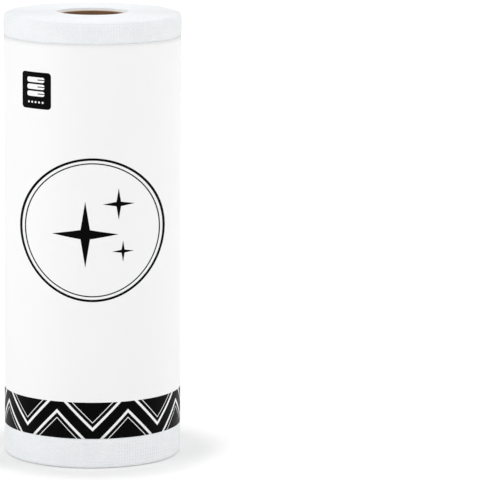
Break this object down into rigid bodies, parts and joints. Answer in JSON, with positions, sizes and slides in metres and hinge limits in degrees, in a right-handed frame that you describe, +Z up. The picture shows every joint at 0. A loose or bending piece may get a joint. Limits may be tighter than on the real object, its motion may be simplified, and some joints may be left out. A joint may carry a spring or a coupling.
{
  "type": "roll of microfiber cloths",
  "caption": "Upright roll of white cloth wound on an open cardboard tube, held by a printed paper sleeve with a dark band at its foot.",
  "frame": {"origin": "centre of the roll's axis on the surface that it stands on, at its lower end", "axes": "+Z up along the roll's axis, through the bore of its core; -Y is the printed front of the sleeve, +X its right side as seen from the front, and the glued lap is at +Y"},
  "size_m": [0.1216, 0.1219, 0.305],
  "materials": {
    "core_board": "matte",
    "cloth": "short terry pile, matte",
    "sleeve_paper": "satin coated",
    "black_ink": "satin"
  },
  "bodies": {
    "root": {"core": "core_board", "cloth_roll": "cloth", "sleeve": "sleeve_paper", "band_print": "black_ink", "badge_print": "black_ink", "emblem_print": "black_ink"}
  },
  "joints": []
}
